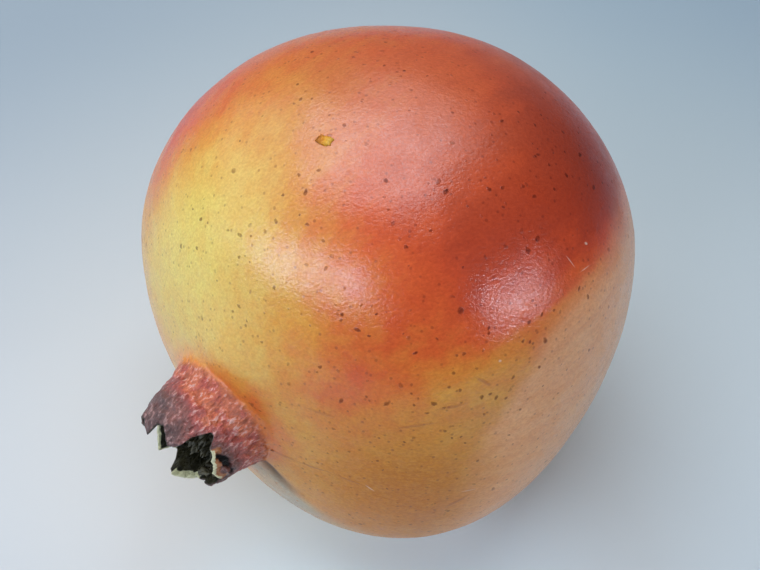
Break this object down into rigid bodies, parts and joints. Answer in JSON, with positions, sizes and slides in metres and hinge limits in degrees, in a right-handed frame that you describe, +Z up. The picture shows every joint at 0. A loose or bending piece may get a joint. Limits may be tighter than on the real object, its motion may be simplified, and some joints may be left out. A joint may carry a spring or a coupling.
{
  "type": "pomegranate",
  "caption": "Whole ripe pomegranate lying on its flank, with an open toothed crown, dry stamens in the crown and a short stub of stalk.",
  "frame": {"origin": "centre of the small flat on the flank that the fruit rests on", "axes": "+Z up from the resting surface, -Y along the axis of the fruit out through the crown, +Y out through the stalk"},
  "size_m": [0.0917, 0.1014, 0.0918],
  "materials": {
    "rind": "leathery rind, yellow to deep red, softly glossy",
    "dry_stamen": "dry, dark brown, matt",
    "stalk_wood": "grey-brown bark, pale cut end, matt"
  },
  "bodies": {
    "root": {"fruit": "rind", "stamens": "dry_stamen", "stalk_stub": "stalk_wood"}
  },
  "joints": []
}
